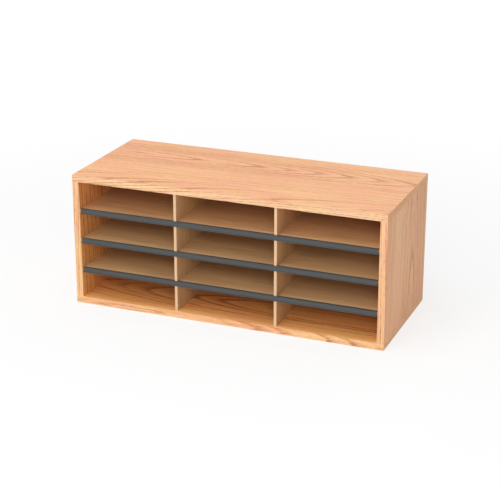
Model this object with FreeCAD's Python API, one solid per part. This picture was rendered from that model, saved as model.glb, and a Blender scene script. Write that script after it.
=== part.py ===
import FreeCAD, Part
import os

# Literature organizer: an open-front case of laminated boards. Two upright dividers and
# three full-width shelves, halved over each other, make three columns of four bays.
# Each shelf's front edge wears a black channel moulding that passes in front of the dividers.
#
# X runs across the width, Y from front to rear, Z up. The origin is at the middle of the
# underside, and every size is in millimetres.

# Overall size of the case
case_width = 730.25
case_depth = 304.8
case_height = 304.8

# Boards
panel_thickness = 15.875
divider_thickness = 6.35
shelf_thickness = 6.35
back_thickness = 3.175

# Bands glued to the bare edges of the panels
band_thickness = 0.6

# Rounding of the edges that a hand meets
band_edge_radius = 0.35
panel_edge_radius = 0.4
divider_edge_radius = 0.6

# Grooves (housings) that carry the shelves, the dividers and the back
groove_depth = 5.0
groove_front_stop = 12.0
back_inset = 9.525

# Channel moulding on each shelf's front edge: a web with two legs that grip the board,
# and two lips in front of the web that hold a paper label
moulding_setback = 1.0
moulding_wall = 1.1
moulding_height = 11.7
moulding_leg_length = 4.9
label_slot = 0.5
lip_thickness = 0.6
lip_height = 1.6
moulding_end_gap = 2.0
moulding_edge_radius = 0.25

# Dowels in the corner joints
dowel_diameter = 8.0
dowel_length = 30.0
dowel_depth_in_panel = 10.0
dowel_end_distance = 42.0
dowels_per_joint = 3
dowel_chamfer = 0.8

# Clearances
board_play = 0.3
groove_end_play = 0.5
lap_play = 0.6
back_gap = 0.4
moulding_play = 0.2
dowel_play = 0.05
dowel_end_play = 0.5

# Two places closer than this are the same place
same_place = 1e-6

divider_names = ("left_divider", "right_divider")
shelf_names = ("lower_shelf", "middle_shelf", "upper_shelf")

# Places worked out from the sizes above
half_width = case_width / 2
front = -case_depth / 2
rear = case_depth / 2
inner_half_width = half_width - panel_thickness
floor_level = panel_thickness
ceiling_level = case_height - panel_thickness

core_front = front + band_thickness
back_front = rear - back_inset - back_thickness
board_rear = back_front - back_gap

columns = len(divider_names) + 1
rows = len(shelf_names) + 1
bay_width = (2 * inner_half_width - len(divider_names) * divider_thickness) / columns
bay_height = (ceiling_level - floor_level - len(shelf_names) * shelf_thickness) / rows
divider_centres = [
    -inner_half_width + (i + 1) * bay_width + (i + 0.5) * divider_thickness
    for i in range(len(divider_names))
]
shelf_undersides = [
    floor_level + (i + 1) * bay_height + i * shelf_thickness
    for i in range(len(shelf_names))
]

moulding_front = front + moulding_setback
web_front = moulding_front + lip_thickness + label_slot
shelf_front = web_front + moulding_wall
divider_front = shelf_front + moulding_play
leg_end = shelf_front + moulding_leg_length
groove_front = front + groove_front_stop

# Dividers and shelves cross at half their depth
lap = (divider_front + board_rear) / 2


def block(x, y, z):
    """A box from its (low, high) pair along each axis."""
    corner = FreeCAD.Vector(x[0], y[0], z[0])
    return Part.makeBox(x[1] - x[0], y[1] - y[0], z[1] - z[0], corner)


def around(centre, width):
    """The (low, high) pair of a width centred on a place."""
    return (centre - width / 2, centre + width / 2)


def round_edges(solid, plane, direction, radius):
    """Round the straight edges that run along one axis in a plane square to another.
    The plane is an (axis, place) pair. Axes are 0 for X, 1 for Y and 2 for Z."""
    axis, place = plane
    edges = []
    for edge in solid.Edges:
        ends = [vertex.Point for vertex in edge.Vertexes]
        in_plane = all(abs(end[axis] - place) < same_place for end in ends)
        along = abs(ends[-1][direction] - ends[0][direction]) > edge.Length - same_place
        if in_plane and along:
            edges.append(edge)
    return solid.makeFillet(radius, edges)


def dowel_places():
    """Depths of the dowels along a corner joint, evenly spaced."""
    first = front + dowel_end_distance
    last = rear - dowel_end_distance
    step = (last - first) / (dowels_per_joint - 1)
    return [first + i * step for i in range(dowels_per_joint)]


def dowel_span(at_top):
    """Lowest and highest point of the dowels in the upper or lower corner joints."""
    if at_top:
        return (ceiling_level + dowel_depth_in_panel - dowel_length, ceiling_level + dowel_depth_in_panel)
    return (floor_level - dowel_depth_in_panel, floor_level - dowel_depth_in_panel + dowel_length)


def dowel_holes(side, at_top):
    """Blind holes for one corner joint, longer and a little wider than the dowels."""
    low, high = dowel_span(at_top)
    x = side * (half_width - panel_thickness / 2)
    height = high - low + 2 * dowel_end_play
    radius = dowel_diameter / 2 + dowel_play
    return [
        Part.makeCylinder(radius, height, FreeCAD.Vector(x, y, low - dowel_end_play))
        for y in dowel_places()
    ]


def corner_dowels(side, at_top):
    """The dowels of one corner joint, chamfered at both ends."""
    low, high = dowel_span(at_top)
    x = side * (half_width - panel_thickness / 2)
    dowels = []
    for y in dowel_places():
        dowel = Part.makeCylinder(dowel_diameter / 2, high - low, FreeCAD.Vector(x, y, low))
        end_edges = [edge for edge in dowel.Edges if isinstance(edge.Curve, Part.Circle)]
        dowels.append(dowel.makeChamfer(dowel_chamfer, end_edges))
    return Part.makeCompound(dowels)


def back_groove():
    """Space for the back and its play in all four panels."""
    reach = inner_half_width + groove_depth
    return block(
        (-reach, reach),
        (back_front - board_play, back_front + back_thickness + board_play),
        (floor_level - groove_depth, ceiling_level + groove_depth),
    )


def divider_grooves():
    """Space for the dividers' tongues in the top and bottom panels."""
    return [
        block(
            around(centre, divider_thickness + board_play),
            (groove_front, back_front),
            (floor_level - groove_depth, ceiling_level + groove_depth),
        )
        for centre in divider_centres
    ]


def shelf_grooves():
    """Space for the shelves' tongues in the side panels."""
    reach = inner_half_width + groove_depth
    return [
        block((-reach, reach), (groove_front, back_front), (under, under + shelf_thickness + board_play))
        for under in shelf_undersides
    ]


def flat_panel(at_top):
    """Top or bottom panel: full width between its end bands."""
    z = (ceiling_level, case_height) if at_top else (0.0, floor_level)
    reach = half_width - band_thickness
    board = block((-reach, reach), (core_front, rear), z)
    board = round_edges(board, (1, rear), 0, panel_edge_radius)
    holes = dowel_holes(-1, at_top) + dowel_holes(1, at_top)
    return board.cut(divider_grooves() + [back_groove()] + holes)


def side_panel(side):
    """Left (-1) or right (1) panel, between the top and the bottom."""
    x = sorted((side * inner_half_width, side * half_width))
    board = block(x, (core_front, rear), (floor_level, ceiling_level))
    board = round_edges(board, (1, rear), 2, panel_edge_radius)
    holes = dowel_holes(side, False) + dowel_holes(side, True)
    return board.cut(shelf_grooves() + [back_groove()] + holes)


def flat_front_band(at_top):
    """Band on the front edge of the top or bottom panel, over the ends of the end bands."""
    z = (ceiling_level, case_height) if at_top else (0.0, floor_level)
    band = block((-half_width, half_width), (front, core_front), z)
    return round_edges(band, (1, front), 0, band_edge_radius)


def side_front_band(side):
    """Band on the front edge of a side panel, between the two flat bands."""
    x = sorted((side * inner_half_width, side * half_width))
    band = block(x, (front, core_front), (floor_level, ceiling_level))
    return round_edges(band, (1, front), 2, band_edge_radius)


def end_band(side, at_top):
    """Band on the end of the top or bottom panel."""
    x = sorted((side * (half_width - band_thickness), side * half_width))
    z = (ceiling_level, case_height) if at_top else (0.0, floor_level)
    band = block(x, (core_front, rear), z)
    return round_edges(band, (0, side * half_width), 1, band_edge_radius)


def back_panel():
    """Hardboard back, held in the panels' grooves and standing on the lower one."""
    reach = inner_half_width + groove_depth - groove_end_play
    low = floor_level - groove_depth
    high = ceiling_level + groove_depth - groove_end_play
    return block((-reach, reach), (back_front, back_front + back_thickness), (low, high))


def divider(centre):
    """Upright divider: tongues above and below, front slots for the shelves and
    notches for the legs of their mouldings."""
    x = around(centre, divider_thickness)
    low = floor_level - groove_depth
    high = ceiling_level + groove_depth - groove_end_play
    board = block(x, (divider_front, board_rear), (low, high))
    board = round_edges(board, (1, divider_front), 2, divider_edge_radius)
    corner_depth = (divider_front, groove_front + board_play)
    cuts = [
        block(x, corner_depth, (low, floor_level)),
        block(x, corner_depth, (ceiling_level, high)),
    ]
    for under in shelf_undersides:
        over = under + shelf_thickness
        cuts.append(block(x, (divider_front, lap + lap_play / 2), (under, over + board_play)))
        grip = (under - moulding_wall - moulding_play, over + moulding_wall + moulding_play)
        cuts.append(block(x, (divider_front, leg_end + moulding_play), grip))
    return board.cut(cuts)


def shelf(under):
    """Full-width shelf: tongues at both ends and rear slots that straddle the dividers."""
    z = (under, under + shelf_thickness)
    reach = inner_half_width + groove_depth - groove_end_play
    board = block((-reach, reach), (shelf_front, board_rear), z)
    corner_depth = (shelf_front, groove_front + board_play)
    cuts = [
        block((-reach, -inner_half_width), corner_depth, z),
        block((inner_half_width, reach), corner_depth, z),
    ]
    for centre in divider_centres:
        slot = around(centre, divider_thickness + board_play)
        cuts.append(block(slot, (lap - lap_play / 2, board_rear), z))
    return board.cut(cuts)


def moulding(under):
    """Black moulding on a shelf's front edge, cut a little short of both side panels."""
    over = under + shelf_thickness
    top = over + moulding_wall
    bottom = top - moulding_height
    reach = inner_half_width - moulding_end_gap
    profile = [
        (leg_end, over),
        (leg_end, top),
        (moulding_front, top),
        (moulding_front, top - lip_height),
        (moulding_front + lip_thickness, top - lip_height),
        (moulding_front + lip_thickness, top - moulding_wall),
        (web_front, top - moulding_wall),
        (web_front, bottom + moulding_wall),
        (moulding_front + lip_thickness, bottom + moulding_wall),
        (moulding_front + lip_thickness, bottom + lip_height),
        (moulding_front, bottom + lip_height),
        (moulding_front, bottom),
        (shelf_front, bottom),
        (shelf_front, under - moulding_wall),
        (leg_end, under - moulding_wall),
        (leg_end, under),
        (shelf_front, under),
        (shelf_front, over),
        (leg_end, over),
    ]
    outline = Part.makePolygon([FreeCAD.Vector(-reach, y, z) for y, z in profile])
    strip = Part.Face(outline).extrude(FreeCAD.Vector(2 * reach, 0, 0))
    return round_edges(strip, (1, moulding_front), 0, moulding_edge_radius)


def write(name, shape):
    """One file per piece, or per group of like pieces."""
    shape.exportStep(os.path.join("parts", name + ".step"))
    print(name, len(shape.Solids), "solid(s),", round(shape.Volume / 1000, 2), "cm3")


def main():
    os.makedirs("parts", exist_ok=True)
    for level, at_top in (("top", True), ("bottom", False)):
        write(level + "_panel", flat_panel(at_top))
        write(level + "_front_band", flat_front_band(at_top))
    for hand, side in (("left", -1), ("right", 1)):
        write(hand + "_side_panel", side_panel(side))
        write(hand + "_side_front_band", side_front_band(side))
        for level, at_top in (("top", True), ("bottom", False)):
            write(level + "_" + hand + "_end_band", end_band(side, at_top))
            write(level + "_" + hand + "_dowels", corner_dowels(side, at_top))
    write("back_panel", back_panel())
    for name, centre in zip(divider_names, divider_centres):
        write(name, divider(centre))
    for name, under in zip(shelf_names, shelf_undersides):
        write(name, shelf(under))
        write(name + "_moulding", moulding(under))


main()
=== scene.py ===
import math
import bmesh
import bpy
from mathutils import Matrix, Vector


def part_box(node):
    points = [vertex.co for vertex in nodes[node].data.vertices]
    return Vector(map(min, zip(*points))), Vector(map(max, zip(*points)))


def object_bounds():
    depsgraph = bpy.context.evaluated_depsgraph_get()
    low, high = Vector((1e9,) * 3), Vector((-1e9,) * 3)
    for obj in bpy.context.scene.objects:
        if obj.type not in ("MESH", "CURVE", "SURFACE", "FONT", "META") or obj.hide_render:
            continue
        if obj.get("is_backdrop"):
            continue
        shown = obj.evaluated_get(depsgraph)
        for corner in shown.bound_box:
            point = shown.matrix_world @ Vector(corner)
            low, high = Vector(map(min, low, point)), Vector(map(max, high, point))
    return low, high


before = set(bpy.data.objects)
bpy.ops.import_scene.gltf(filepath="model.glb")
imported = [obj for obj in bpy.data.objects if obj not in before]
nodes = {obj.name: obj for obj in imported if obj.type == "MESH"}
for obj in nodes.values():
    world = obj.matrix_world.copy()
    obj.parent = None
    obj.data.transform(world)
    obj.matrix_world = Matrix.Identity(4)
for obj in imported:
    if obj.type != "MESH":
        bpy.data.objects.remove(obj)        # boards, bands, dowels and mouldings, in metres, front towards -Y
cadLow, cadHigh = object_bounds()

millimetre = 0.001
finished = []            # names of the pieces that have their material
print("case loaded:", len(nodes), "pieces")


# Shader helpers: a value handed in is a number, a colour or another node's socket

mixSockets = {"amount": 0, "first": 6, "second": 7, "result": 2}     # a Mix node's sockets for colours


def feed(tree, socket, value):
    if isinstance(value, bpy.types.NodeSocket):
        tree.links.new(value, socket)
    elif socket.type == "RGBA":
        socket.default_value = (*value, 1.0)
    else:
        socket.default_value = value


def addNode(tree, kind, **values):
    made = tree.nodes.new(kind)
    for name, value in values.items():
        setattr(made, name, value)
    return made


def calc(tree, operation, *values, clamp=False):
    made = addNode(tree, "ShaderNodeMath", operation=operation, use_clamp=clamp)
    for socket, value in zip(made.inputs, values):
        feed(tree, socket, value)
    return made.outputs[0]


def remap(tree, value, low, high, toLow=0.0, toHigh=1.0):
    # Eases from one level to another while the value runs from low to high
    made = addNode(tree, "ShaderNodeMapRange", interpolation_type="SMOOTHSTEP")
    for socket, given in zip(made.inputs, (value, low, high, toLow, toHigh)):
        feed(tree, socket, given)
    return made.outputs[0]


def blend(tree, amount, first, second, how="MIX"):
    made = addNode(tree, "ShaderNodeMix", data_type="RGBA", blend_type=how)
    feed(tree, made.inputs[mixSockets["amount"]], amount)
    feed(tree, made.inputs[mixSockets["first"]], first)
    feed(tree, made.inputs[mixSockets["second"]], second)
    return made.outputs[mixSockets["result"]]


def pick(tree, mask, elsewhere, inside):
    # A number that changes where a mask goes from 0 to 1
    kept = calc(tree, "MULTIPLY", elsewhere, calc(tree, "SUBTRACT", 1.0, mask))
    return calc(tree, "MULTIPLY_ADD", inside, mask, kept)


def ramp(tree, value, stops, ease="LINEAR"):
    made = addNode(tree, "ShaderNodeValToRGB")
    made.color_ramp.interpolation = ease
    marks = made.color_ramp.elements
    while len(marks) < len(stops):
        marks.new(0.5)
    for mark, (position, colour) in zip(marks, stops):
        mark.position = position
        mark.color = (*colour, 1.0)
    feed(tree, made.inputs[0], value)
    return made.outputs[0]


def grey(level):
    return (level, level, level)


def split(tree, place):
    apart = addNode(tree, "ShaderNodeSeparateXYZ")
    feed(tree, apart.inputs[0], place)
    return apart.outputs


def objectPlace(tree, order="xyz"):
    # Object coordinates with the axes in a chosen order: along the grain, across it, into the board
    axes = split(tree, addNode(tree, "ShaderNodeTexCoord").outputs["Object"])
    together = addNode(tree, "ShaderNodeCombineXYZ")
    for socket, axis in zip(together.inputs, order):
        feed(tree, socket, axes["xyz".index(axis)])
    return together.outputs[0], axes


def stretched(tree, place, scale, shift=(0.0, 0.0, 0.0)):
    made = addNode(tree, "ShaderNodeMapping", vector_type="POINT")
    feed(tree, made.inputs["Vector"], place)
    feed(tree, made.inputs["Scale"], scale)
    feed(tree, made.inputs["Location"], shift)
    return made.outputs[0]


def cloud(tree, place, perMetre, detail, roughness):
    made = addNode(tree, "ShaderNodeTexNoise")
    feed(tree, made.inputs["Vector"], place)
    feed(tree, made.inputs["Scale"], perMetre)
    feed(tree, made.inputs["Detail"], detail)
    feed(tree, made.inputs["Roughness"], roughness)
    return made.outputs[0]


def drawnCloud(tree, place, pattern, shift=(0.0, 0.0, 0.0)):
    # A noise drawn out along the grain. A pattern is how many clouds there are to the metre
    # along the grain and across it, and the noise's detail and roughness
    along, across, detail, roughness = pattern
    return cloud(tree, stretched(tree, place, (along, across, across), shift), 1.0, detail, roughness)


def stain(tree, colour, noise, look):
    # Lays a stain over a colour where the noise runs from the look's low to its high
    amount = remap(tree, noise, look["low"], look["high"], 0.0, look["most"])
    return blend(tree, amount, colour, look["colour"])


def newMaterial(name):
    made = bpy.data.materials.new(name)
    made.use_nodes = True
    made.node_tree.nodes.clear()
    return made, made.node_tree


def surface(tree, colour, roughness, bumpHeight, bumpDepth, gloss=0.5):
    shader = addNode(tree, "ShaderNodeBsdfPrincipled")
    feed(tree, shader.inputs["Base Color"], colour)
    feed(tree, shader.inputs["Roughness"], roughness)
    feed(tree, shader.inputs["Specular IOR Level"], gloss)
    bump = addNode(tree, "ShaderNodeBump")
    feed(tree, bump.inputs["Distance"], bumpDepth)
    feed(tree, bump.inputs["Height"], bumpHeight)
    feed(tree, shader.inputs["Normal"], bump.outputs[0])
    ending = addNode(tree, "ShaderNodeOutputMaterial")
    tree.links.new(shader.outputs[0], ending.inputs[0])


def dress(name, material):
    nodes[name].data.materials.clear()
    nodes[name].data.materials.append(material)
    finished.append(name)


# Oak-grain laminate: growth rings, pores and fibre

oakPrint = {
    "tones": [                             # from the palest latewood to the darkest porous lines
        (0.00, (0.930, 0.540, 0.315)),
        (0.28, (0.890, 0.475, 0.258)),
        (0.50, (0.835, 0.410, 0.207)),
        (0.75, (0.720, 0.305, 0.135)),
        (1.00, (0.540, 0.190, 0.076)),
    ],
    "rosy": (1.0, 0.945, 0.93),            # the tones drift between these two tints
    "sunny": (1.0, 1.035, 0.90),
    "tintSpan": (0.32, 0.68),              # of the hue noise
    "ring": [                              # how dark one ring is, from its inner side to its outer
        (0.0, 0.1), (0.10, 0.85), (0.22, 1.0), (0.42, 0.55), (0.70, 0.15), (1.0, 0.0),
    ],
    "ringMean": 0.16,                      # what the rings come to on average
    "dashSpan": (0.36, 0.64),              # of the pore noise, over which a ring goes from faint to strong
    "dashLevels": (0.50, 1.50),
    "pore": (0.30, 0.105, 0.040),
    "poreSpan": (0.62, 0.70),
    "poresInRings": 0.16,                  # how much a ring lifts the pore noise
    "roughness": 0.48,
    "fibreRoughness": 0.16,                # what the fibre adds to it at most
    "fibreHeight": 0.2,                    # shares of the bump depth
    "poreDepth": 0.6,
    "bumpDepth": 0.12 * millimetre,
    "gloss": 0.35,
}
oakNoise = {             # patterns for drawnCloud
    "sway": (2.6, 4.0, 2.0, 0.45),
    "drift": (4.0, 16.0, 1.0, 0.5),
    "jag": (45.0, 330.0, 3.0, 0.65),
    "broad": (2.5, 22.0, 2.0, 0.5),
    "streak": (4.0, 150.0, 3.0, 0.6),
    "fibre": (14.0, 620.0, 3.0, 0.65),
    "hue": (9.0, 26.0, 2.0, 0.5),
    "pore": (80.0, 2300.0, 2.0, 0.6),
}


def wander(tree, noise, width, about=0.0):
    # Makes a noise of 0 to 1 a distance that swings as far to one side as to the other
    return calc(tree, "MULTIPLY_ADD", noise, width, about - width / 2)


def oakRings(tree, place, leaf, faceAt):
    # Growth rings are cones round a leaning pith line, cut by the face of the board
    shift = leaf["shift"]
    sway = drawnCloud(tree, place, oakNoise["sway"], shift)
    drift = drawnCloud(tree, place, oakNoise["drift"], (shift[1], shift[2], shift[0]))
    jag = drawnCloud(tree, place, oakNoise["jag"], shift)
    along, across, inward = split(tree, place)
    swayed = calc(tree, "ADD", across, wander(tree, sway, leaf["sway"], -leaf["pith"]))
    side = calc(tree, "ABSOLUTE", swayed)
    drifted = calc(tree, "ADD", along, wander(tree, drift, leaf["drift"]))
    climb = calc(tree, "MULTIPLY_ADD", drifted, leaf["lean"], leaf["height"])
    depth = calc(tree, "ADD", climb, calc(tree, "SUBTRACT", inward, faceAt))
    # The extra straight part of the side distance draws each ring out to a point
    spread = calc(tree, "MULTIPLY", side, calc(tree, "ADD", side, leaf["point"]))
    radius = calc(tree, "SQRT", calc(tree, "MULTIPLY_ADD", depth, depth, spread))
    count = calc(tree, "DIVIDE", radius, leaf["spacing"])
    count = calc(tree, "ADD", count, wander(tree, jag, leaf["jag"]))
    # Some rings are strong and some hardly show
    years = leaf["years"]
    midRing = calc(tree, "ADD", calc(tree, "FLOOR", count), 0.5)
    year = calc(tree, "FRACT", calc(tree, "DIVIDE", midRing, len(years)))
    yearStops = [(number / len(years), grey(level)) for number, level in enumerate(years)]
    strength = ramp(tree, year, yearStops, "CONSTANT")
    band = ramp(tree, calc(tree, "FRACT", count), [(at, grey(level)) for at, level in oakPrint["ring"]])
    fading = remap(tree, side, leaf["near"], leaf["far"], 1.0, leaf["edge"])
    return calc(tree, "MULTIPLY", calc(tree, "MULTIPLY", band, strength), fading)


def oakFace(tree, place, face, faceAt):
    # Colour, pores and fibre of one face; two leaves of grain may meet along a straight seam
    leaves = face["leaves"]
    rings = oakRings(tree, place, leaves[0], faceAt)
    if len(leaves) > 1:
        across = split(tree, place)[1]
        beyond = calc(tree, "LESS_THAN", across, leaves[1]["seam"])
        rings = pick(tree, beyond, rings, oakRings(tree, place, leaves[1], faceAt))
    shift = leaves[0]["shift"]
    broad = drawnCloud(tree, place, oakNoise["broad"], shift)
    streak = drawnCloud(tree, place, oakNoise["streak"], shift)
    fibre = drawnCloud(tree, place, oakNoise["fibre"], shift)
    hue = drawnCloud(tree, place, oakNoise["hue"], (shift[2], shift[0], shift[1]))
    poreNoise = drawnCloud(tree, place, oakNoise["pore"], shift)
    pores = calc(tree, "MULTIPLY_ADD", rings, oakPrint["poresInRings"], poreNoise)
    pores = remap(tree, pores, *oakPrint["poreSpan"])
    # The rings are made of short porous dashes, not of even tone
    dashes = remap(tree, poreNoise, *oakPrint["dashSpan"], *oakPrint["dashLevels"])
    rings = calc(tree, "MULTIPLY", rings, dashes)

    dark = calc(tree, "MULTIPLY_ADD", rings, face["rings"], face["tone"])
    dark = calc(tree, "MULTIPLY_ADD", broad, face["broad"], dark)
    dark = calc(tree, "MULTIPLY_ADD", streak, face["streak"], dark)
    dark = calc(tree, "MULTIPLY_ADD", fibre, face["fibre"], dark)
    # What they add on average is taken off, so that the face keeps its own tone
    mean = (face["broad"] + face["streak"] + face["fibre"]) / 2 + face["rings"] * oakPrint["ringMean"]
    dark = calc(tree, "SUBTRACT", dark, mean, clamp=True)

    tones = []
    for at, tone in oakPrint["tones"]:
        tones.append((at, [channel * tint for channel, tint in zip(tone, face["tint"])]))
    colour = ramp(tree, dark, tones)
    rosy = blend(tree, 1.0, colour, oakPrint["rosy"], "MULTIPLY")
    sunny = blend(tree, 1.0, colour, oakPrint["sunny"], "MULTIPLY")
    colour = blend(tree, remap(tree, hue, *oakPrint["tintSpan"]), rosy, sunny)
    colour = blend(tree, calc(tree, "MULTIPLY", pores, face["pores"]), colour, oakPrint["pore"])
    return colour, pores, fibre


def oakRelief(tree, pores, fibre):
    # Roughness and height: the fibre stands up a little and the pores lie deep
    roughness = calc(tree, "MULTIPLY_ADD", fibre, oakPrint["fibreRoughness"], oakPrint["roughness"])
    raised = calc(tree, "MULTIPLY", fibre, oakPrint["fibreHeight"])
    height = calc(tree, "SUBTRACT", raised, calc(tree, "MULTIPLY", pores, oakPrint["poreDepth"]))
    return roughness, height


def bandMaterial(name, order, face, faceAt):
    made, tree = newMaterial(name)
    colour, pores, fibre = oakFace(tree, objectPlace(tree, order)[0], face, faceAt)
    roughness, height = oakRelief(tree, pores, fibre)
    surface(tree, colour, roughness, height, oakPrint["bumpDepth"], oakPrint["gloss"])
    return made


# Particleboard, the panels' core: pressed chips of mixed tone with small voids

chipboard = {
    "chipsPerMetre": 640.0,
    "chipShape": (1.0, 1.0, 1.7),          # a chip is lower than it is wide
    "tones": [(0.0, (0.430, 0.260, 0.135)), (0.35, (0.560, 0.375, 0.210)),
              (0.75, (0.660, 0.475, 0.290)), (1.0, (0.740, 0.570, 0.380))],
    "fine": (900.0, 3.0, 0.6),             # grains per metre, detail and roughness
    "fineShape": (1.0, 1.0, 1.6),
    "shade": {"low": 0.40, "high": 0.70, "most": 0.5, "colour": (0.34, 0.20, 0.100)},
    "voidSpan": (0.66, 0.76),
    "void": (0.075, 0.040, 0.020),
    "relief": 3.0,                         # times the laminate's bump
    "rougher": 0.4,                        # than the laminate
    "edgeReach": 0.35 * millimetre,        # how far in from the rear the core shows
}


def particleBoard(tree):
    place = objectPlace(tree)[0]
    chips = addNode(tree, "ShaderNodeTexVoronoi", feature="F1")
    feed(tree, chips.inputs["Vector"], stretched(tree, place, chipboard["chipShape"]))
    feed(tree, chips.inputs["Scale"], chipboard["chipsPerMetre"])
    chance = addNode(tree, "ShaderNodeSeparateColor")
    feed(tree, chance.inputs[0], chips.outputs["Color"])
    fine = cloud(tree, stretched(tree, place, chipboard["fineShape"]), *chipboard["fine"])
    tone = stain(tree, ramp(tree, chance.outputs[0], chipboard["tones"]), fine, chipboard["shade"])
    voids = remap(tree, fine, *chipboard["voidSpan"])
    tone = blend(tree, voids, tone, chipboard["void"])
    return tone, calc(tree, "SUBTRACT", chance.outputs[1], voids)


def panelMaterial(name, order, outer, outerAt, inner, innerAt):
    # The outer face and the one towards the bays have their own grain, and the one towards the bays also
    # carries its painted shade; the rear edge is bare core
    made, tree = newMaterial(name)
    place, axes = objectPlace(tree, order)
    colour, pores, fibre = oakFace(tree, place, outer, outerAt)
    innerColour, innerPores, innerFibre = oakFace(tree, place, inner, innerAt)
    inward = split(tree, place)[2]
    towardsBays = "GREATER_THAN" if innerAt > outerAt else "LESS_THAN"
    inside = calc(tree, towardsBays, inward, (outerAt + innerAt) / 2)
    colour = blend(tree, inside, colour, innerColour)
    pores = pick(tree, inside, pores, innerPores)
    fibre = pick(tree, inside, fibre, innerFibre)
    roughness, height = oakRelief(tree, pores, fibre)

    chip, chipHeight = particleBoard(tree)
    bare = calc(tree, "GREATER_THAN", axes[1], cadHigh.y - chipboard["edgeReach"])
    colour = blend(tree, bare, colour, chip)
    roughness = calc(tree, "MULTIPLY_ADD", bare, chipboard["rougher"], roughness, clamp=True)
    height = pick(tree, bare, height, calc(tree, "MULTIPLY", chipHeight, chipboard["relief"]))
    surface(tree, colour, roughness, height, oakPrint["bumpDepth"], oakPrint["gloss"])
    return made


# One leaf of grain: lengths are in metres along the grain, across it and into the board

leafStart = {
    "shift": (3.1, 7.7, 1.3),    # moves the noises, so that no two leaves match
    # How strongly each ring shows; after the last the row starts over
    "years": (0.5, 0.9, 0.3, 0.7, 0.2, 0.8, 0.45, 1.0, 0.25, 0.6, 0.35, 0.85, 0.3, 0.7, 0.5, 0.2),
    "pith": 0.0,                 # where the pith line runs across the face
    "height": 0.036,             # how deep it lies at zero along the grain
    "lean": 0.090,               # how much deeper it lies per metre
    "spacing": 0.0065,           # from ring to ring
    "point": 0.012,              # draws each arch out to a point
    "sway": 0.012,               # how far the rings wander across
    "drift": 0.05,               # and how far the arches wander along
    "jag": 0.35,                 # raggedness, in ring spacings
    "near": 0.03,                # the rings weaken between these distances from the pith line
    "far": 0.10,
    "edge": 0.6,                 # to this share of their strength
}
faceStart = {
    "tint": (1.0, 1.0, 1.0),     # multiplies the print's tones
    "tone": 0.40,                # where the face lies on their scale
    "rings": 0.80,               # how strongly each of these shows
    "broad": 0.50,
    "streak": 1.00,
    "fibre": 0.70,
    "pores": 0.55,
}


def leafWith(**changes):
    return {**leafStart, **changes}


def faceWith(*leaves, **changes):
    return {**faceStart, "leaves": leaves, **changes}


# Top panel: pointed arches run to the right, and a second leaf slants along the front

# Painted shade: the faces towards the bays get a deeper, warmer tint that stands in for the shade and the
# warm light bounced round inside the bays
bayShadeTint = (1.0, 0.95, 0.65)             # painted shade: a deeper, warmer tint on the faces towards the bays
topOutside = faceWith(
    leafWith(years=(0.3, 0.3, 0.9, 0.2, 1.0, 0.25, 1.0, 0.8, 0.9,
                    0.95, 0.7, 0.9, 0.3, 0.6, 0.4, 0.7, 0.2, 0.5),
             pith=0.057, height=0.0400, sway=0.020, near=0.04, far=0.12, edge=0.75),
    leafWith(shift=(8.4, 2.2, 5.9),
             years=(0.3, 0.2, 1.0, 0.25, 0.3, 0.9, 0.3, 1.0, 0.9, 0.25, 1.0, 0.9, 0.5),
             pith=-0.156, height=0.2000, lean=-0.045, spacing=0.0029, point=0.0,
             sway=0.014, jag=0.45, far=0.08, edge=0.3, seam=-0.082),
    tint=(1.0, 1.02, 1.11), rings=0.52, broad=0.32, streak=0.80)
topInside = faceWith(leafWith(shift=(2.9, 5.1, 8.0), pith=0.02), tint=bayShadeTint)
low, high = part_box("top_panel")
dress("top_panel", panelMaterial("oakTop", "xyz", topOutside, high.z, topInside, low.z))

# Side panels, and the bottom panel with its arches on the bays' floor

# Painted sheen: the outer faces of the sides, and the bottom panel's underside, which uses the right side's
# face, carry a cooler, paler tint that stands in for the white light they reflect at a slant
rightOutside = faceWith(
    leafWith(shift=(1.7, 4.8, 2.6), years=(0.4, 0.9, 0.3, 0.6, 1.0, 0.35, 0.8, 0.5, 0.9, 0.3, 0.7),
             pith=0.048, height=0.050, lean=0.080, spacing=0.0075, sway=0.020, far=0.11, edge=0.35),
    tint=(0.985, 1.05, 1.14), rings=0.45, broad=0.75, streak=0.95)
# Painted sheen: the same cooler, paler tint stands in for reflected white light on this side too
leftOutside = faceWith(
    leafWith(shift=(6.6, 2.1, 7.4), years=(0.7, 0.3, 1.0, 0.5, 0.9, 0.25, 0.6, 0.9, 0.4, 0.8),
             pith=-0.035, height=0.066, lean=0.070, spacing=0.0080, sway=0.022, far=0.11, edge=0.35),
    tint=(0.985, 1.05, 1.14), rings=0.45, broad=0.75, streak=0.95)
# Painted shade: the darker tone of the sides' inner faces stands in for the shade in the bays
sideInside = faceWith(
    leafWith(shift=(6.1, 0.4, 3.3), pith=-0.240, height=0.08, lean=0.035, spacing=0.0080,
             sway=0.020, jag=0.8, near=0.05, far=0.30, edge=0.9),
    tint=bayShadeTint, tone=0.46, rings=0.90, broad=1.1, streak=1.3)
# Painted shade: the bays' floor gets a slightly darker tone and the bays' shade tint
bottomInside = faceWith(
    leafWith(shift=(5.3, 0.9, 9.1),
             years=(0.3, 0.2, 0.4, 0.2, 1.0, 1.0, 0.3, 0.7, 0.4, 0.6, 0.25, 0.5, 0.3, 0.6),
             pith=-0.058, height=0.0325, lean=-0.15, spacing=0.0095, sway=0.006,
             near=0.04, far=0.09, edge=0.4),
    tint=bayShadeTint, tone=0.42, rings=1.05)
low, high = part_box("right_side_panel")
dress("left_side_panel", panelMaterial("oakLeft", "zyx", leftOutside, -high.x, sideInside, -low.x))
dress("right_side_panel", panelMaterial("oakRight", "zyx", rightOutside, high.x, sideInside, low.x))
low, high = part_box("bottom_panel")
dress("bottom_panel", panelMaterial("oakBottom", "xyz", rightOutside, low.z, bottomInside, high.z))
print("laminate laid on the panels")

# Edge bands: each is a narrow cut, so its rings keep their full strength

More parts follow.
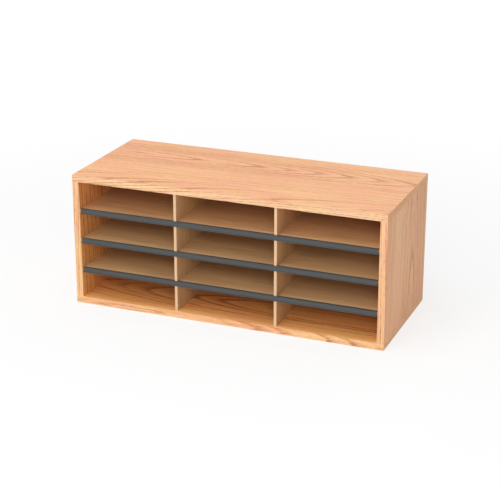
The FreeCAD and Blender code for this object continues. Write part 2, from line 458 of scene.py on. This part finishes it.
topBandFace = faceWith(
    leafWith(shift=(2.3, 6.1, 4.4), pith=0.238, height=0.040, lean=-0.120, spacing=0.0024,
             point=0.0, sway=0.004, edge=1.0),
    tint=(0.96, 1.18, 1.38), tone=0.36, rings=1.00)
bottomBandFace = faceWith(
    leafWith(shift=(7.2, 3.3, 1.8), years=(0.3, 0.8, 0.2, 0.15, 0.4, 0.9, 0.8, 0.15, 1.0, 0.9, 0.4, 0.6),
             pith=0.0055, height=0.020, lean=0.085, spacing=0.0050,
             point=0.006, sway=0.007, drift=0.10, jag=0.7, edge=1.0),
    tint=(0.95, 1.03, 1.05), tone=0.38, rings=0.62)
leftBandFace = faceWith(
    leafWith(shift=(4.6, 8.2, 0.7), pith=-0.300, height=0.030, lean=0.060, spacing=0.0042,
             sway=0.008, edge=1.0),
    tint=(0.965, 1.09, 1.12), tone=0.38, rings=0.70)
rightBandFace = faceWith(
    leafWith(shift=(9.2, 1.1, 5.3), pith=0.410, height=0.030, lean=-0.080, spacing=0.0050,
             sway=0.012, edge=1.0),
    tint=(0.935, 1.01, 1.09), tone=0.38, rings=0.85, streak=1.2)
endFace = faceWith(
    leafWith(shift=(0.6, 2.7, 9.3), pith=0.200, height=0.060, lean=0.050, spacing=0.0030,
             point=0.0, sway=0.004, edge=1.0),
    tint=(0.97, 1.03, 1.05), rings=0.45)
frontPlane = cadLow.y
dress("top_front_band", bandMaterial("oakTopBand", "xzy", topBandFace, frontPlane))
dress("bottom_front_band", bandMaterial("oakBottomBand", "xzy", bottomBandFace, frontPlane))
dress("left_side_front_band", bandMaterial("oakLeftBand", "zxy", leftBandFace, frontPlane))
dress("right_side_front_band", bandMaterial("oakRightBand", "zxy", rightBandFace, frontPlane))
for side, outerPlane in (("left", -cadHigh.x), ("right", cadHigh.x)):
    for level in ("top", "bottom"):
        endMaterial = bandMaterial("oakEnd" + level.title() + side.title(), "yzx", endFace, outerPlane)
        dress(level + "_" + side + "_end_band", endMaterial)
print("edge bands laid")


# Tan-faced fibreboard of the shelves and dividers

fibreboard = {
    "deep": (0.586, 0.352, 0.175),
    "pale": (0.700, 0.447, 0.220),
    "toneSpan": (0.30, 0.70),
    "broad": (2.0, 16.0, 3.0, 0.55),       # patterns for drawnCloud
    "streak": (7.0, 160.0, 3.0, 0.6),
    "fleck": (260.0, 700.0, 2.0, 0.6),
    "streakStain": {"low": 0.42, "high": 0.72, "most": 0.40, "colour": (0.36, 0.19, 0.085)},
    "fleckStain": {"low": 0.60, "high": 0.75, "most": 0.35, "colour": (0.25, 0.13, 0.06)},
    "roughness": 0.42,
    "fleckRoughness": 0.2,                 # what the flecks add to it at most
    "fleckHeight": 0.6,
    "bumpDepth": 0.06 * millimetre,
    "edgePale": (0.740, 0.485, 0.282),     # from here on, the dividers' cut front edges
    "edgeDeep": (0.715, 0.462, 0.266),
    "edgeSpan": (0.35, 0.70),
    "edgeHair": (420.0, 1900.0, 3.0, 0.65),
    "edgeHairStain": {"low": 0.52, "high": 0.74, "most": 0.45, "colour": (0.500, 0.290, 0.145)},
    "edgeReach": 0.7 * millimetre,
    # Where each board's patterns start, so that no two match
    "shelfShifts": {"lower": (0.0, 1.0, 4.0), "middle": (2.3, 1.0, 4.0), "upper": (4.6, 1.0, 4.0)},
    "dividerShifts": {"left": (1.0, 4.0, 2.0), "right": (1.0, 5.0, 2.0)},
}


def fibreboardMaterial(name, order, shift, edgeAt=None):
    made, tree = newMaterial(name)
    place, axes = objectPlace(tree, order)
    broad = drawnCloud(tree, place, fibreboard["broad"], shift)
    streak = drawnCloud(tree, place, fibreboard["streak"], shift)
    fleck = drawnCloud(tree, place, fibreboard["fleck"], shift)
    toneShare = remap(tree, broad, *fibreboard["toneSpan"])
    colour = blend(tree, toneShare, fibreboard["deep"], fibreboard["pale"])
    colour = stain(tree, colour, streak, fibreboard["streakStain"])
    colour = stain(tree, colour, fleck, fibreboard["fleckStain"])
    if edgeAt is not None:
        edge = calc(tree, "LESS_THAN", axes[1], edgeAt + fibreboard["edgeReach"])
        edgeShare = remap(tree, streak, *fibreboard["edgeSpan"])
        edgeColour = blend(tree, edgeShare, fibreboard["edgePale"], fibreboard["edgeDeep"])
        hair = drawnCloud(tree, place, fibreboard["edgeHair"], shift)
        colour = blend(tree, edge, colour, stain(tree, edgeColour, hair, fibreboard["edgeHairStain"]))
    roughness = calc(tree, "MULTIPLY_ADD", fleck, fibreboard["fleckRoughness"], fibreboard["roughness"])
    height = calc(tree, "ADD", streak, calc(tree, "MULTIPLY", fleck, fibreboard["fleckHeight"]))
    surface(tree, colour, roughness, height, fibreboard["bumpDepth"])
    return made


for level, shift in fibreboard["shelfShifts"].items():
    dress(level + "_shelf", fibreboardMaterial(level + "ShelfBoard", "xyz", shift))
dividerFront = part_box("left_divider")[0].y
for side, shift in fibreboard["dividerShifts"].items():
    dress(side + "_divider", fibreboardMaterial(side + "DividerBoard", "zyx", shift, dividerFront))
print("shelves and dividers finished")


# Hardboard back: smooth and lighter brown towards the bays, screen-pressed on the outside

hardboard = {
    "smooth": ((0.455, 0.285, 0.150), (0.550, 0.362, 0.200)),      # deep and pale
    "screened": ((0.300, 0.150, 0.066), (0.375, 0.200, 0.092)),
    "toneSpan": (0.30, 0.70),
    "broad": (9.0, 4.0, 0.6),              # clouds per metre, detail and roughness
    "hairShape": (240.0, 240.0, 900.0),    # hairs per metre along each axis
    "hair": (1.0, 3.0, 0.65),              # times that, then the noise's detail and roughness
    "hairStain": {"low": 0.45, "high": 0.75, "most": 0.55, "colour": (0.20, 0.095, 0.042)},
    "wirePitch": 1.6 * millimetre,         # of the screen's wires
    "wirePit": (0.17, 0.080, 0.036),
    "wirePitShows": 0.35,
    "screenReach": 0.2 * millimetre,       # how far in from the rear the screen's print goes
    "roughness": 0.5,
    "hairRoughness": 0.2,                  # what the hairs add to it at most
    "hairHeight": 0.35,
    "bumpDepth": 0.25 * millimetre,
}


def hardboardMaterial(name, rearAt):
    made, tree = newMaterial(name)
    place, axes = objectPlace(tree)
    broad = cloud(tree, place, *hardboard["broad"])
    hair = cloud(tree, stretched(tree, place, hardboard["hairShape"]), *hardboard["hair"])
    toneShare = remap(tree, broad, *hardboard["toneSpan"])
    outside = calc(tree, "GREATER_THAN", axes[1], rearAt - hardboard["screenReach"])
    smooth = blend(tree, toneShare, *hardboard["smooth"])
    screened = blend(tree, toneShare, *hardboard["screened"])
    colour = stain(tree, blend(tree, outside, smooth, screened), hair, hardboard["hairStain"])
    wires = []
    for axis in (axes[0], axes[2]):
        turns = calc(tree, "MULTIPLY", axis, 2 * math.pi / hardboard["wirePitch"])
        wires.append(calc(tree, "MULTIPLY_ADD", calc(tree, "SINE", turns), 0.5, 0.5))
    screen = calc(tree, "MULTIPLY", calc(tree, "MULTIPLY", *wires), outside)
    pitted = calc(tree, "MULTIPLY", screen, hardboard["wirePitShows"])
    colour = blend(tree, pitted, colour, hardboard["wirePit"])
    roughness = calc(tree, "MULTIPLY_ADD", hair, hardboard["hairRoughness"], hardboard["roughness"])
    height = calc(tree, "SUBTRACT", calc(tree, "MULTIPLY", hair, hardboard["hairHeight"]), screen)
    surface(tree, colour, roughness, height, hardboard["bumpDepth"])
    return made


dress("back_panel", hardboardMaterial("hardboardBack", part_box("back_panel")[1].y))
print("back finished")


# Shelf-edge mouldings: satin black extruded plastic

moulding = {
    "deep": (0.052, 0.055, 0.056),
    "pale": (0.067, 0.071, 0.073),
    "toneSpan": (0.35, 0.70),
    "drawn": (3.0, 1500.0, 2.0, 0.6),      # the die's lines: patterns for drawnCloud
    "dust": (14.0, 90.0, 3.0, 0.6),
    "dustStain": {"low": 0.55, "high": 0.80, "most": 0.25, "colour": (0.080, 0.080, 0.078)},
    "grain": (2600.0, 2.0, 0.6),           # grains per metre, detail and roughness
    "roughness": 0.30,
    "grainRoughness": 0.18,                # what the grain adds to it at most
    "drawnHeight": 0.5,
    "grainHeight": 0.4,
    "bumpDepth": 0.04 * millimetre,
}


def mouldingMaterial(name):
    made, tree = newMaterial(name)
    place = objectPlace(tree)[0]
    drawn = drawnCloud(tree, place, moulding["drawn"])
    grain = cloud(tree, place, *moulding["grain"])
    dust = drawnCloud(tree, place, moulding["dust"])
    colour = blend(tree, remap(tree, drawn, *moulding["toneSpan"]), moulding["deep"], moulding["pale"])
    colour = stain(tree, colour, dust, moulding["dustStain"])
    roughness = calc(tree, "MULTIPLY_ADD", grain, moulding["grainRoughness"], moulding["roughness"])
    lines = calc(tree, "MULTIPLY", drawn, moulding["drawnHeight"])
    height = calc(tree, "ADD", lines, calc(tree, "MULTIPLY", grain, moulding["grainHeight"]))
    surface(tree, colour, roughness, height, moulding["bumpDepth"])
    return made


mouldingPlastic = mouldingMaterial("mouldingPlastic")
for level in ("lower", "middle", "upper"):
    dress(level + "_shelf_moulding", mouldingPlastic)
print("mouldings finished")


# Dowels in the corner joints: plain pale wood

dowel = {
    "pale": (0.660, 0.480, 0.285),
    "deep": (0.520, 0.340, 0.180),
    "toneSpan": (0.3, 0.7),
    "fibre": (25.0, 900.0, 3.0, 0.6),      # pattern for drawnCloud
    "roughness": 0.6,
    "bumpDepth": 0.1 * millimetre,
}


def dowelMaterial(name):
    made, tree = newMaterial(name)
    fibre = drawnCloud(tree, objectPlace(tree, "zxy")[0], dowel["fibre"])
    colour = blend(tree, remap(tree, fibre, *dowel["toneSpan"]), dowel["pale"], dowel["deep"])
    surface(tree, colour, dowel["roughness"], fibre, dowel["bumpDepth"])
    return made


dowelWood = dowelMaterial("dowelWood")
for corner in ("top_left", "top_right", "bottom_left", "bottom_right"):
    dress(corner + "_dowels", dowelWood)
print("dowels finished;", len(finished), "of", len(nodes), "pieces have their material")


# Pale floor that fades into a white surround and keeps a faint shadow

floorSet = {
    "reach": 9.0,                  # from the middle to each side
    "squares": 8,
    "tone": (0.93, 0.93, 0.93),
    "mottle": (3.0, 3.0, 0.5),     # clouds per metre, detail and roughness
    "mottleStain": {"low": 0.3, "high": 0.7, "most": 0.5, "colour": (0.95, 0.95, 0.95)},
    "glow": (0.72, 1.0),           # share of plain white seen near the case, and far from it
    "glowSpan": (0.45, 1.60),      # how near and how far that is
}


def seenRay(tree):
    # 1 for what the camera sees, straight or in a mirror or through glass
    path = addNode(tree, "ShaderNodeLightPath")
    seen = calc(tree, "MAXIMUM", path.outputs["Is Camera Ray"], path.outputs["Is Glossy Ray"])
    return calc(tree, "MAXIMUM", seen, path.outputs["Is Transmission Ray"])


def endMixed(tree, amount, first, second, ending):
    # Ends a tree in two shaders; the amount is how much of the second shows
    both = addNode(tree, "ShaderNodeMixShader")
    feed(tree, both.inputs[0], amount)
    tree.links.new(first.outputs[0], both.inputs[1])
    tree.links.new(second.outputs[0], both.inputs[2])
    tree.links.new(both.outputs[0], addNode(tree, ending).inputs[0])


def buildFloor():
    flat = bmesh.new()
    squares = floorSet["squares"]
    bmesh.ops.create_grid(flat, x_segments=squares, y_segments=squares, size=floorSet["reach"])
    mesh = bpy.data.meshes.new("floor")
    flat.to_mesh(mesh)
    flat.free()
    floor = bpy.data.objects.new("floor", mesh)
    bpy.context.scene.collection.objects.link(floor)
    made, tree = newMaterial("paleFloor")
    place = objectPlace(tree)[0]
    paper = addNode(tree, "ShaderNodeBsdfDiffuse")
    mottle = cloud(tree, place, *floorSet["mottle"])
    feed(tree, paper.inputs["Color"], stain(tree, floorSet["tone"], mottle, floorSet["mottleStain"]))
    away = addNode(tree, "ShaderNodeVectorMath", operation="LENGTH")
    feed(tree, away.inputs[0], place)
    glowing = remap(tree, away.outputs["Value"], *floorSet["glowSpan"], *floorSet["glow"])
    white = addNode(tree, "ShaderNodeEmission")
    shown = calc(tree, "MULTIPLY", seenRay(tree), glowing)
    endMixed(tree, shown, paper, white, "ShaderNodeOutputMaterial")
    mesh.materials.append(made)
    floor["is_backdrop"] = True


studioSet = {
    "ambient": 0.38,               # strength of the light from all round
    "ambientTone": (1.0, 1.0, 1.0),
    "backdrop": (1.0, 1.0, 1.0),   # what is seen behind the case
}


def buildWorld():
    world = bpy.data.worlds.new("studio")
    world.use_nodes = True
    bpy.context.scene.world = world
    tree = world.node_tree
    tree.nodes.clear()
    lit = addNode(tree, "ShaderNodeBackground")
    feed(tree, lit.inputs["Color"], studioSet["ambientTone"])
    feed(tree, lit.inputs["Strength"], studioSet["ambient"])
    seen = addNode(tree, "ShaderNodeBackground")
    feed(tree, seen.inputs["Color"], studioSet["backdrop"])
    endMixed(tree, seenRay(tree), lit, seen, "ShaderNodeOutputWorld")


# Places and sizes in metres, power in watts
softboxes = {
    "keySoftbox": {"at": (-1.1, -2.6, 2.6), "to": (0.0, 0.0, 0.12), "size": (2.4, 1.8), "power": 28.0},
    "overSoftbox": {"at": (-0.4, -0.6, 3.2), "to": (0.0, 0.0, 0.3), "size": (2.4, 2.0), "power": 41.0},
    "frontSoftbox": {"at": (1.0, -3.2, 1.6), "to": (0.0, 0.0, 0.15), "size": (1.8, 1.4), "power": 47.0},
    "rearSoftbox": {"at": (0.5, 3.2, 0.9), "to": (0.0, 0.0, 0.15), "size": (1.8, 1.4), "power": 16.0},
}


def buildLights():
    for name, box in softboxes.items():
        lamp = bpy.data.lights.new(name, "AREA")
        lamp.shape = "RECTANGLE"
        lamp.size, lamp.size_y = box["size"]
        lamp.energy = box["power"]
        holder = bpy.data.objects.new(name, lamp)
        holder.location = box["at"]
        aim = Vector(box["to"]) - Vector(box["at"])
        holder.rotation_euler = aim.to_track_quat("-Z", "Y").to_euler()
        bpy.context.scene.collection.objects.link(holder)


cameraSet = {
    "at": (1.1600, -2.8899, 1.2941),
    "turn": 0.3819,          # radians the view turns left of straight ahead
    "dip": 0.3593,           # radians it points below the horizon
    "lens": 105.78,          # millimetres, on a sensor this wide
    "sensor": 36.0,
    "farthest": 50.0,
}


def buildCamera():
    lens = bpy.data.cameras.new("viewCamera")
    lens.lens = cameraSet["lens"]
    lens.sensor_width = cameraSet["sensor"]
    lens.clip_end = cameraSet["farthest"]
    holder = bpy.data.objects.new("viewCamera", lens)
    holder.location = cameraSet["at"]
    holder.rotation_euler = (math.pi / 2 - cameraSet["dip"], 0.0, cameraSet["turn"])
    bpy.context.scene.collection.objects.link(holder)
    bpy.context.scene.camera = holder


buildCamera()
buildFloor()
buildWorld()
buildLights()
bpy.context.scene.view_settings.view_transform = "Standard"
print("floor, lights and camera set")

low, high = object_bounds()
